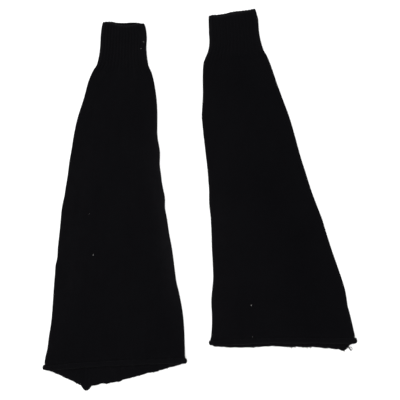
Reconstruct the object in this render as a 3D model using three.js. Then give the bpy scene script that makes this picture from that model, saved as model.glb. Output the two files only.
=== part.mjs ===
// A pair of flared knitted leg warmers, laid flat side by side on a surface.
// Millimetres, +Z up off the surface, +Y from the hems towards the cuffs, +X to the right.
// The origin is under the middle of the pair, on the surface.
//
// Each leg warmer is a knitted tube lying with its back layer on the surface and its front layer on
// the back one: a short ribbed cuff, then a flared body in plain knitting. The body is one panel
// joined by a seam in the back layer. Its edge is unfinished, so it rolls outwards all round: up on
// the front layer, and down under the back one. Where the slanting ends of the panel meet at the
// seam, the hem dips to a point.
import * as THREE from "three";

// The cloth.
const WALL = 1.6; // thickness of the plain knitting
const CUFF_WALL = 2; // thickness of the ribbed knitting between its ribs
const LAYER_GAP = 1.2; // air between the front layer and the back layer
const SEAM_GAP = 0.3; // between the cuff and the body
const EDGE_ROUND = 0.6; // how far a cut edge rounds out past the last full thickness

// The cuff.
const CUFF_LONG = 80;
const RIB_HIGH = 0.9;
const RIBS_ON_FRONT = 14;
const COLUMNS_PER_RIB = 4; // two on the rib, then two beside it
const RIM_DIP = 4; // how much lower the front rim lies than the back one, at its middle
const MOUTH_OPEN = 1.6; // the layers part this much more at the rim
const MOUTH_LONG = 22; // and come together over this length

// The rolled hem, measured to the middle of the wall.
const ROLL_LONG = 4.2; // half its length along the cloth
const ROLL_THICK = 2.4; // half its depth out from the cloth
const ROLL_WAVES = [
  { share: 0.08, every: 96, start: 0.4 },
  { share: 0.06, every: 37, start: 2.1 },
]; // how unevenly it has rolled: a share of its size, and the length of each wave
const ROLL_TURN = THREE.MathUtils.degToRad(255);
const ROLL_STEPS = 8;
const RAMP_START = 34; // the layers climb on to the roll under the back layer from here
const RAMP_END = 2; // to here, short of the edge
const SEAM_TURN = THREE.MathUtils.degToRad(100); // at the seam the edge is too stiff to roll up
const SEAM_STIFF = 4; // it is that stiff this far from the seam's point
const SEAM_FREE = 14; // and rolls up freely this far from it

// The folds down both sides.
const FOLD_STEPS = 6;
const FOLD_RISE = 1.2; // the layers stay this much further apart at a fold
const FOLD_REACH = 16; // and come together over this length

// The yoke, where the cloth widens below the cuff.
const YOKE_RISE = 1.1;
const YOKE_AT = 104;
const YOKE_LONG = 30;

// Steps of the walls. Rings and columns crowd towards the ends of their stretch by CROWDING.
const CUFF_RINGS = 5;
const BODY_RINGS = 22;
const LAYER_COLUMNS = 17;
const CUFF_BACK_COLUMNS = 9;
const CROWDING = 0.7;
const SEAM_COLUMNS = [-16, -9, -4, 0, 4, 9, 16]; // millimetres either side of the seam's point
const SEAM_CLEAR = 22; // other columns keep this far from that point

// Each garment in its own frame: its rim's middle at the origin, its cuff up +Y.
// sections: the folded edges, left and right of the axis, at a distance below the back rim.
// frontHem and backHem: how far below the rim the middle of the rolled edge lies, at x.
// seamPoint: where the hem dips to a point in the back layer.
// swells: soft rises of the front layer, leaning from the axis by lean degrees.
const LEFT = {
  name: "left",
  place: { x: -142.8, y: 326.3, turn: -1.3 },
  sections: [
    { below: 0, left: -37.5, right: 39 },
    { below: 10, left: -39.2, right: 42 },
    { below: 26, left: -40.5, right: 43.6 },
    { below: 44, left: -40.8, right: 43.3 },
    { below: 62, left: -42.6, right: 45.1 },
    { below: 80, left: -47, right: 48.8 },
    { below: 90, left: -53.6, right: 54.2 },
    { below: 110, left: -61.6, right: 59.8 },
    { below: 140, left: -69, right: 64.6 },
    { below: 180, left: -80.6, right: 66.6 },
    { below: 210, left: -86.2, right: 68 },
    { below: 240, left: -90.2, right: 72.6 },
    { below: 290, left: -96.6, right: 77.6 },
    { below: 340, left: -103.8, right: 85.4 },
    { below: 400, left: -109.4, right: 96.4 },
    { below: 460, left: -114.6, right: 106 },
    { below: 520, left: -117.8, right: 119.2 },
    { below: 560, left: -120.4, right: 124.9 },
    { below: 600, left: -125.4, right: 127 },
    { below: 640, left: -129, right: 127.6 },
  ],
  frontHem: [
    { x: -129, below: 639.5 },
    { x: -60, below: 633 },
    { x: 27, below: 626.5 },
    { x: 90, below: 622.5 },
    { x: 128, below: 621 },
  ],
  backHem: [
    { x: -129, below: 639.5 },
    { x: -112, below: 644.5 },
    { x: -80, below: 657.5 },
    { x: -54, below: 669 },
    { x: -26, below: 662.6 },
    { x: -8, below: 660.2 },
    { x: 24, below: 651 },
    { x: 72, below: 638.5 },
    { x: 112, below: 626.5 },
    { x: 128, below: 621 },
  ],
  seamPoint: { x: -54, drop: 6.5, half: 9 },
  swells: [
    { x: 22, below: 205, long: 67, wide: 17, high: 1.7, lean: 6 },
    { x: -46, below: 268, long: 85, wide: 20, high: 1.5, lean: -10 },
    { x: 58, below: 372, long: 64, wide: 19, high: 1.9, lean: 14 },
    { x: -18, below: 452, long: 78, wide: 26, high: 1.3, lean: -3 },
    { x: -84, below: 540, long: 50, wide: 22, high: 1.6, lean: -16 },
    { x: 66, below: 560, long: 57, wide: 30, high: 1.2, lean: 8 },
  ],
};

const RIGHT = {
  name: "right",
  place: { x: 59.1, y: 345.9, turn: 9.2 },
  sections: [
    { below: 0, left: -44, right: 42.6 },
    { below: 10, left: -45.4, right: 43.8 },
    { below: 26, left: -47.4, right: 44.2 },
    { below: 44, left: -49.2, right: 43 },
    { below: 62, left: -54.4, right: 43.4 },
    { below: 80, left: -65, right: 46.2 },
    { below: 90, left: -69, right: 50.2 },
    { below: 110, left: -73, right: 54.8 },
    { below: 140, left: -77.6, right: 59.8 },
    { below: 180, left: -85.6, right: 67.4 },
    { below: 210, left: -88.2, right: 72.6 },
    { below: 240, left: -89.2, right: 77 },
    { below: 290, left: -92.2, right: 82.4 },
    { below: 340, left: -97.6, right: 89.6 },
    { below: 400, left: -103, right: 101.4 },
    { below: 460, left: -110.4, right: 110.6 },
    { below: 520, left: -122.4, right: 120.6 },
    { below: 560, left: -128.6, right: 123.6 },
    { below: 600, left: -135.2, right: 126 },
    { below: 640, left: -138, right: 126.4 },
  ],
  frontHem: [
    { x: -134, below: 597.2 },
    { x: -60, below: 605 },
    { x: 10, below: 615 },
    { x: 80, below: 627 },
    { x: 126, below: 634.5 },
  ],
  backHem: [
    { x: -134, below: 597.2 },
    { x: -118, below: 603.2 },
    { x: -88, below: 608 },
    { x: -40, below: 613.8 },
    { x: 0, below: 621 },
    { x: 40, below: 628.2 },
    { x: 80, below: 637.2 },
    { x: 105, below: 642.6 },
    { x: 117, below: 636.4 },
    { x: 126, below: 634.5 },
  ],
  seamPoint: { x: 105, drop: 3, half: 8 },
  swells: [
    { x: -34, below: 190, long: 71, wide: 18, high: 1.6, lean: -5 },
    { x: 30, below: 262, long: 78, wide: 19, high: 1.5, lean: 9 },
    { x: -62, below: 352, long: 67, wide: 21, high: 1.8, lean: -12 },
    { x: 44, below: 430, long: 85, wide: 24, high: 1.4, lean: 12 },
    { x: -20, below: 520, long: 64, wide: 28, high: 1.2, lean: 2 },
    { x: 88, below: 556, long: 42, wide: 20, high: 1.7, lean: 15 },
  ],
};

const { clamp, smoothstep, lerp, degToRad } = THREE.MathUtils;

// Shares from 0 to 1, closer together at both ends.
function shares(count) {
  return Array.from({ length: count }, (_, i) => {
    const even = i / (count - 1);
    return lerp(even, smoothstep(even, 0, 1), CROWDING);
  });
}

// The value of one column of a table at a place between its rows, on a smooth curve.
function along(rows, place, column, at) {
  const last = rows.length - 1;
  let i = 0;
  while (i < last - 1 && rows[i + 1][place] < at) i += 1;
  const slope = (k) => {
    const a = rows[Math.max(k - 1, 0)];
    const b = rows[Math.min(k + 1, last)];
    return (b[column] - a[column]) / (b[place] - a[place]);
  };
  const [from, to] = [rows[i], rows[i + 1]];
  const span = to[place] - from[place];
  const t = clamp((at - from[place]) / span, 0, 1);
  const rise = to[column] - from[column];
  const bend = t * t * (3 - 2 * t);
  const leave = slope(i) * span * t * (1 - t) * (1 - t);
  const arrive = slope(i + 1) * span * t * t * (1 - t);
  return from[column] + rise * bend + leave - arrive;
}

// How far below the rim the middle of the rolled edge lies, at x in one layer.
function hemBelow(garment, x, onBack) {
  const rows = onBack ? garment.backHem : garment.frontHem;
  const at = clamp(x, rows[0].x, rows[rows.length - 1].x);
  const { seamPoint } = garment;
  const away = Math.abs(x - seamPoint.x) / seamPoint.half;
  const point = onBack && away < 1 ? seamPoint.drop * Math.cos((away * Math.PI) / 2) ** 2 : 0;
  return along(rows, "x", "below", at) + point;
}

// How far the edge rolls round, in radians.
function rollTurn(garment, x, onBack) {
  const away = Math.abs(x - garment.seamPoint.x);
  return onBack ? lerp(SEAM_TURN, ROLL_TURN, smoothstep(away, SEAM_STIFF, SEAM_FREE)) : ROLL_TURN;
}

// How large the roll is at x, as a share of its usual size.
function rollSize(x) {
  const swing = ({ share, every, start }) => share * Math.sin((2 * Math.PI * x) / every + start);
  return ROLL_WAVES.reduce((size, wave) => size + swing(wave), 1);
}

// How far the back layer has to be held up at x to stand on its rolled edge.
function rollDepth(garment, x) {
  const turn = Math.min(rollTurn(garment, x, true), Math.PI);
  return ROLL_THICK * rollSize(x) * (1 - Math.cos(turn));
}

function swellHeight(garment, x, below) {
  let high = 0;
  for (const swell of garment.swells) {
    const lean = degToRad(swell.lean);
    const [dx, dy] = [x - swell.x, below - swell.below];
    const acrossIt = (dx * Math.cos(lean) - dy * Math.sin(lean)) / swell.wide;
    const alongIt = (dx * Math.sin(lean) + dy * Math.cos(lean)) / swell.long;
    high += swell.high * Math.exp(-acrossIt * acrossIt - alongIt * alongIt);
  }
  return high;
}

// The middle heights of the back layer and the front layer at a place.
function layerHeights(garment, x, below, edge, wall) {
  const backHem = hemBelow(garment, x, true);
  const climb = smoothstep(below, backHem - RAMP_START, backHem - RAMP_END);
  const lift = rollDepth(garment, x) * climb;
  const fromFold = edge / FOLD_REACH;
  const fold = FOLD_RISE * Math.exp(-fromFold * fromFold);
  const fromYoke = (below - YOKE_AT) / YOKE_LONG;
  const yoke = YOKE_RISE * Math.exp(-fromYoke * fromYoke);
  const fromRim = below / MOUTH_LONG;
  const mouth = MOUTH_OPEN * Math.exp(-fromRim * fromRim);
  const calm = clamp(edge / FOLD_REACH, 0, 1);
  const open = LAYER_GAP + fold + (yoke + mouth + swellHeight(garment, x, below)) * calm;
  const back = wall / 2 + lift;
  return { back, front: back + wall + open };
}

// Columns run once round the flattened tube: over the back from the left fold to the right one,
// round that fold, over the front to the left fold, and round it. lean is the way out of the wall.
function columnsRound(backAcross, frontAcross) {
  const [down, up] = [-Math.PI / 2, Math.PI / 2];
  const fold = (across, from) =>
    Array.from({ length: FOLD_STEPS - 1 }, (_, i) => ({
      across,
      lean: from + (Math.PI * (i + 1)) / FOLD_STEPS,
    }));
  return [
    ...backAcross.map((across) => ({ across, lean: down })),
    ...fold(1, down),
    ...[...frontAcross].reverse().map((across) => ({ across, lean: up })),
    ...fold(-1, up),
  ];
}

// The folded edges of the tube at a distance below the rim.
function edgesAt(garment, below) {
  const left = along(garment.sections, "below", "left", below);
  const right = along(garment.sections, "below", "right", below);
  return { left, right, middle: (left + right) / 2, half: (right - left) / 2 };
}

// The middle of the wall in one column, and the way out of it.
function wallPoint(garment, column, below, wall) {
  const { left, right, middle, half } = edgesAt(garment, below);
  const foldHeights = layerHeights(garment, column.across < 0 ? left : right, below, 0, wall);
  const foldRadius = (foldHeights.front - foldHeights.back) / 2;
  const reach = half - foldRadius - wall / 2;
  const x = middle + column.across * reach;
  const heights = layerHeights(garment, x, below, (1 - Math.abs(column.across)) * reach, wall);
  const radius = (heights.front - heights.back) / 2;
  const centre = (heights.front + heights.back) / 2;
  const out = new THREE.Vector3(Math.cos(column.lean), 0, Math.sin(column.lean));
  const point = new THREE.Vector3(x, -below, centre).addScaledVector(out, radius);
  return { point, out };
}

// A closed wall from stations down a tube: each holds a middle point, a way out and a half thickness
// for every column. The rings run down the outside, round the lower edge and up the inside.
function wallGeometry(stations, upperEdge, lowerEdge) {
  const side = (station, sign) =>
    station.map(({ point, out, half, rib = 0 }) =>
      point.clone().addScaledVector(out, sign > 0 ? half + rib : -half),
    );
  const rings = [
    upperEdge,
    ...stations.map((station) => side(station, 1)),
    lowerEdge,
    ...[...stations].reverse().map((station) => side(station, -1)),
  ];
  const columns = rings[0].length;
  const positions = rings.flat().flatMap((p) => [p.x, p.y, p.z]);
  const indices = [];
  rings.forEach((_, j) => {
    const next = (j + 1) % rings.length;
    for (let k = 0; k < columns; k += 1) {
      const nextColumn = (k + 1) % columns;
      const [a, b] = [j * columns + k, j * columns + nextColumn];
      const [c, d] = [next * columns + nextColumn, next * columns + k];
      indices.push(a, b, c, a, c, d);
    }
  });
  const geometry = new THREE.BufferGeometry();
  geometry.setAttribute("position", new THREE.Float32BufferAttribute(positions, 3));
  geometry.setIndex(indices);
  geometry.computeVertexNormals();
  return geometry;
}

// The rounded end of a wall: its last middle points, pushed on past the neighbouring station.
function edgeRing(last, before) {
  return last.map(({ point }, k) => {
    const on = point.clone().sub(before[k].point).normalize();
    return point.clone().addScaledVector(on, EDGE_ROUND);
  });
}

// How far below the back rim the rim lies, in one column.
function rimBelow(column) {
  const onFront = (Math.sin(column.lean) + 1) / 2;
  return RIM_DIP * onFront * (1 - column.across * column.across);
}

function cuffGeometry(garment) {
  const count = RIBS_ON_FRONT * COLUMNS_PER_RIB;
  const front = Array.from({ length: count + 1 }, (_, i) => (2 * i) / count - 1);
  const back = shares(CUFF_BACK_COLUMNS).map((share) => 2 * share - 1);
  const columns = columnsRound(back, front);
  const stations = shares(CUFF_RINGS).map((share) =>
    columns.map((column) => {
      const below = lerp(rimBelow(column) + EDGE_ROUND, CUFF_LONG - SEAM_GAP / 2 - EDGE_ROUND, share);
      const { point, out } = wallPoint(garment, column, below, CUFF_WALL);
      const step = Math.round(((column.across + 1) / 2) * count) % COLUMNS_PER_RIB;
      const onRib = column.lean === Math.PI / 2 && (step === 1 || step === 2);
      return { point, out, half: CUFF_WALL / 2, rib: onRib ? RIB_HIGH : 0 };
    }),
  );
  return wallGeometry(
    stations,
    edgeRing(stations[0], stations[1]),
    edgeRing(stations.at(-1), stations.at(-2)),
  );
}

// The stations of the rolled edge, past the last flat one.
function rollStations(garment, columns, hem) {
  const onBack = (column) => column.lean === -Math.PI / 2;
  const turns = columns.map((column, k) => rollTurn(garment, hem[k].point.x, onBack(column)));
  const frames = columns.map((_, k) => {
    const before = hem[(k + columns.length - 1) % columns.length].point;
    const after = hem[(k + 1) % columns.length].point;
    const round = after.clone().sub(before).normalize();
    return { out: hem[k].out, on: hem[k].out.clone().cross(round).normalize() };
  });
  return Array.from({ length: ROLL_STEPS }, (_, i) =>
    frames.map(({ out, on }, k) => {
      const turn = (turns[k] * (i + 1)) / ROLL_STEPS;
      const size = rollSize(hem[k].point.x);
      const point = hem[k].point
        .clone()
        .addScaledVector(on, ROLL_LONG * size * Math.sin(turn))
        .addScaledVector(out, ROLL_THICK * size * (1 - Math.cos(turn)));
      const way = out
        .clone()
        .multiplyScalar(ROLL_LONG * Math.cos(turn))
        .addScaledVector(on, -ROLL_THICK * Math.sin(turn))
        .normalize();
      return { point, out: way, half: WALL / 2 };
    }),
  );
}

// Columns across the back layer, closer together round the point of the seam.
function backColumns(garment, middle, half) {
  const seam = (garment.seamPoint.x - middle) / half;
  const clearOfSeam = (across) => Math.abs(across - seam) * half > SEAM_CLEAR || Math.abs(across) === 1;
  const plain = shares(LAYER_COLUMNS).map((share) => 2 * share - 1);
  const close = SEAM_COLUMNS.map((away) => seam + away / half);
  const all = [...plain.filter(clearOfSeam), ...close.filter((across) => Math.abs(across) < 1)];
  return all.sort((a, b) => a - b);
}

function bodyGeometry(garment) {
  const { middle, half } = edgesAt(garment, garment.backHem[0].below);
  const front = shares(LAYER_COLUMNS).map((share) => 2 * share - 1);
  const columns = columnsRound(backColumns(garment, middle, half), front);
  const top = CUFF_LONG + SEAM_GAP / 2 + EDGE_ROUND;
  const flat = shares(BODY_RINGS).map((share) =>
    columns.map((column) => {
      const x = middle + column.across * half;
      const onFront = (Math.sin(column.lean) + 1) / 2;
      const hem = lerp(hemBelow(garment, x, true), hemBelow(garment, x, false), onFront);
      const { point, out } = wallPoint(garment, column, lerp(top, hem, share), WALL);
      return { point, out, half: WALL / 2 };
    }),
  );
  const stations = [...flat, ...rollStations(garment, columns, flat.at(-1))];
  return wallGeometry(
    stations,
    edgeRing(stations[0], stations[1]),
    edgeRing(stations.at(-1), stations.at(-2)),
  );
}

const plainKnit = new THREE.MeshStandardMaterial({ color: 0x0e0e10, roughness: 0.95, metalness: 0 });
const ribKnit = new THREE.MeshStandardMaterial({ color: 0x0d0d0f, roughness: 0.95, metalness: 0 });

function legWarmer(garment) {
  const group = new THREE.Group();
  const cuff = new THREE.Mesh(cuffGeometry(garment), ribKnit);
  cuff.name = `${garment.name}_cuff`;
  const body = new THREE.Mesh(bodyGeometry(garment), plainKnit);
  body.name = `${garment.name}_body`;
  group.add(cuff, body);
  group.position.set(garment.place.x, garment.place.y, 0);
  group.rotation.z = degToRad(garment.place.turn);
  return group;
}

const pair = new THREE.Group();
pair.add(legWarmer(LEFT), legWarmer(RIGHT));

export default pair;
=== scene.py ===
"""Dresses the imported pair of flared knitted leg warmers: cloth, knitting, light and camera."""
import math

import bpy
import numpy as np
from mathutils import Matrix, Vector
from mathutils.bvhtree import BVHTree


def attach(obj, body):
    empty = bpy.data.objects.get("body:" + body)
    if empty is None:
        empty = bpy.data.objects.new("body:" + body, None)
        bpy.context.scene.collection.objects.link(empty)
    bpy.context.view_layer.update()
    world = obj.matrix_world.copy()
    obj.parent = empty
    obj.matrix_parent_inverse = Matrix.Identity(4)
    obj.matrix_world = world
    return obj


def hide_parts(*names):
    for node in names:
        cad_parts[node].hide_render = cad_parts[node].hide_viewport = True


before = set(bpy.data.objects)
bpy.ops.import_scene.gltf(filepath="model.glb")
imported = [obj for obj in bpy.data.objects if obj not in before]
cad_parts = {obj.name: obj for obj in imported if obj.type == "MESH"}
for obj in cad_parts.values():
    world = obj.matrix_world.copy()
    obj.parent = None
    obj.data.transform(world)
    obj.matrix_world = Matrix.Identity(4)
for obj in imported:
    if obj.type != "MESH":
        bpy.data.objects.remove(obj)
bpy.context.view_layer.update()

# All sizes here are in millimetres, as in the solids, and meshes are made in metres.
MM = 0.001
rng = np.random.default_rng(seed=7)

# The cloth.
WALL = 1.6
CUFF_WALL = 2.0
LAYER_GAP = 1.2
EDGE_ROUND = 0.6
TUCK = 0.9  # the body's upper edge reaches this far in between the cuff's layers of stitches

# The cuff.
CUFF_LONG = 80
RIB_HIGH = 0.9
RIB_INSIDE = 0.6
RIBS_ON_LAYER = 14
RIB_CENTRE = 0.375
RIB_TOP, RIB_FOOT = 0.22, 0.86  # a rib's flat top and its foot, as shares of half its spacing
RIB_START, RIB_WHOLE = -1.5, 2  # a rib grows to its full height between these, below the rim
WALES_PER_RIB = 4
RIM_SCALLOP = 0.6
RIM_THIN = 0.75  # this share of the wall is left at the rim,
RIM_LONG = 2.5  # and all of it this far below
MOUTH_OPEN = 1.6
MOUTH_LONG = 22
RIB_FADE = 7  # the ribs die out over this length of the body
JOIN_LONG = 12  # over which the walls of cuff and body come level

# The rolled hem.
ROLL_LONG = 4.2
ROLL_THICK = 2.4
ROLL_TURN = math.radians(255)
RAMP_START = 34
RAMP_END = 2
SEAM_TURN = math.radians(100)
SEAM_STIFF = 4
SEAM_FREE = 14
BUMP_BELL = 0.6  # the width of a hem bump's bell, as a share of its half
FLARE = 0.143  # how fast each folded side leaves the axis

# The folds down both sides, and the yoke.
FOLD_RISE = 1.2
FOLD_REACH = 16
YOKE_RISE = 1.1
YOKE_AT = 104
YOKE_LONG = 30

# The seam in the back layer: a ridge inside the tube and a groove outside.
SEAM_RIDGE = 0.9
SEAM_GROOVE = 0.35
SEAM_HALF = 1.5
SEAM_SETTLES = 10  # over this length below the cuff
SEAM_TAIL = 0.4  # the share of the ridge that is left at the end of the rolled edge
SEAM_THREAD = 0.16

# Where the yarn is a little paler: by how much, and how near to the place. By the folds this is a
# painted sheen with some wear, and along the cuff's rim a painted highlight with some wear.
PALER_REACH = 4
FOLD_SHEEN_AND_WEAR = 0.5
# A painted highlight along the cuff's rim, with some wear: how near the rim it reaches, and how much
# on the back layer and on the front one.
RIM_HIGHLIGHT_REACH = 2.8
BACK_RIM_HIGHLIGHT, FRONT_RIM_HIGHLIGHT = 0.8, 2

# Painted light lifts the shade in the two hollows beside the front layer's roll: how far each lies
# from the front hem, and how much paler it is painted.
BEHIND_ROLL, BEHIND_ROLL_LIGHT = 7.5, 0.45
UNDER_ROLL, UNDER_ROLL_LIGHT = 6.5, 0.85

# The knitting.
WALE = 1.9
COURSE = 1.45
RIB_COURSE = 1.5

# Steps of the walls.
FRONT_COLUMNS = 121
BACK_COLUMNS = 121
FOLD_STEPS = 12
BODY_RINGS = 132
ROLL_STEPS = 20
CUFF_RINGS = 60
COLUMNS_PER_RIB = 10
CROWDING = 0.7
SEAM_STEPS = np.array([-10, -8, -6, -4.5, -3, -2, -1, 0, 1, 2, 3, 4.5, 6, 8, 10.0])


def table(names, *rows):
    """A table with named columns, as one array for each."""
    return dict(zip(names.split(), np.array(rows, float).T))


# The columns of every table of soft patches.
PATCH = "x below long wide high lean"

# How unevenly the hem has rolled: a share of its size, and the length of each wave.
ROLL_WAVES = table(
    "share every start",
    (0.08, 96, 0.4),
    (0.06, 37, 2.1),
    (0.035, 17, 1.0),
    (0.025, 9.5, 4.0),
)

# Each garment lies in a frame of its own: x runs across it, y runs up it, and y is 0 at the level of
# its cuff's rim. sections are its two folded edges, and bulges what stands out of them. front_hem
# and back_hem are its layers' hems, hem_bumps what is uneven in the back one, and nubs the loops of
# yarn that stand out of it. rim is how far the cuff's rim rises, and how far it dips in front. seam
# is where the back hem comes to a point, how far down and from how far away. swells and creases are
# where the front layer lies higher, or lower where high is less than 0. tone_and_sheen is where the
# yarn is paler, or a deeper black where high is less than 0; its long pale band along the left
# garment's right edge is a painted sheen. A patch's lean is in degrees.
LEFT = {
    "name": "left",
    "place": (-142.8, 326.3),
    "turn": math.radians(-1.3),
    "sections": table(
        "below left right",
        (0, -37, 38.7), (10, -39, 41.7), (26, -40.3, 43.8), (44, -40.8, 43.5), (62, -42.6, 45.1),
        (80, -47, 48.8), (90, -53.6, 54.2), (110, -61.6, 59.8), (140, -69, 64.6),
        (180, -80.6, 66.6), (210, -86.2, 68), (240, -90.2, 72.6), (290, -96.6, 77.6),
        (340, -103.8, 85.4), (400, -109.4, 96.4), (460, -114.6, 106), (520, -117.8, 119.2),
        (560, -120.4, 124.9), (600, -125.4, 127.4), (640, -129.4, 127.2),
    ),
    "front_hem": table(
        "x below", (-130, 638.8), (-126, 639.6), (-60, 633), (27, 626.5), (90, 622.5), (128, 620.8)
    ),
    "back_hem": table(
        "x below",
        (-130, 638.8), (-126, 640.6), (-121, 641.3), (-112, 644.6), (-80, 657.5), (-54, 669),
        (-26, 662.6), (-8, 660.2), (24, 651), (72, 638.5), (112, 626.5), (128, 620.8),
    ),
    "bulges": table(
        "below long left right",
        (320, 400, 0.3, 0.4),
        (166, 22, 0, 0.7),
        (233, 18, 0, 1.1),
        (260, 14, 0.6, -1.4),
        (318, 15, 0, 2.1),
        (322, 9, -0.6, 0),
        (341, 10, 0, -0.8),
        (349, 18, 0.8, 0),
        (388, 14, 0, -0.7),
        (432, 34, 0, 0.9),
        (436, 12, -1.2, 0),
        (451, 9, 0.8, 0),
        (477, 11, 0, -0.8),
        (493, 30, 0.3, 0.4),
        (540, 26, 0, 0.6),
        (577, 18, 0.6, 0),
        (604, 9, 0, 0.3),
        (617, 5.5, 0, 1.5),
        (620, 10, 1.6, 0),
        (624, 4, 0, -1.4),
        (630, 6, 1, 0),
    ),
    "rim": table(
        "x up dip",
        (-38, 0.7, 0.4), (-31, 1.8, 1.2), (-21, 1.8, 3), (-17, 0.8, 3.8), (-12, 0.2, 4.4),
        (4, 0.1, 5.6), (14, 1, 5.8), (29, 1.1, 2.8), (39, -0.5, 0),
    ),
    "hem_bumps": table(
        "x down half",
        (-110, 0.6, 5), (-93, 0.9, 6), (-44, -1.6, 6), (-17, 1.1, 7), (8, 1.8, 6), (27, 0.7, 5),
        (47, 0.6, 7), (61, -0.7, 4), (77, 0.9, 6), (88, 0.7, 5), (103, -0.9, 6), (119, 0.6, 5),
    ),
    "seam": {"x": -54.6, "drop": 6.8, "half": 8.2},
    "nubs": table(
        "x out",
        (-96, 0.4), (-71, 0.6), (-33, 0.5), (-15, 0.6), (6, 0.5), (22, 0.7), (45, 0.4), (71, 0.6),
        (79, 0.5), (96, 0.4),
    ),
    "swells": table(
        PATCH,
        (22, 205, 67, 17, 1.7, 6),
        (-46, 268, 85, 20, 1.5, -10),
        (58, 372, 64, 19, 1.9, 14),
        (-18, 452, 78, 26, 1.3, -3),
        (-84, 540, 50, 22, 1.6, -16),
        (66, 560, 57, 30, 1.2, 8),
    ),
    "creases": table(
        PATCH,
        (-34, 97, 17, 4.2, 0.8, -32),
        (-17, 100, 24, 5, -0.56, -13),
        (-3, 96, 19, 3.8, 0.72, -4),
        (12, 103, 27, 5.5, -0.64, 5),
        (27, 98, 18, 4.4, 0.8, 15),
        (43, 101, 15, 4, -0.48, 20),
        (-58, 158, 34, 5, 0.72, -17),
        (36, 165, 40, 6, -0.72, 4),
        (-8, 236, 52, 6.5, 0.64, 3),
        (-71, 330, 46, 7, -0.8, -9),
        (9, 345, 60, 8, 0.8, 7),
        (73, 450, 55, 7.5, 0.72, 18),
        (-62, 470, 48, 7, 0.64, -8),
        (30, 520, 44, 9, -0.72, 10),
        (-30, 590, 30, 8, 0.8, -5),
        (98, 585, 26, 6, 0.64, 12),
    ),
    "tone_and_sheen": table(
        PATCH,
        # A painted sheen along the right edge, where the cloth curves away.
        (96, 390, 125, 21, 2.4, 10),
        (72, 215, 70, 11, 1.3, 5),
        (-82, 285, 90, 28, 0.4, -8),
        (-100, 460, 110, 32, 0.45, -6),
        (-6, 370, 60, 30, 0.3, 0),
    ),
}

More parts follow.
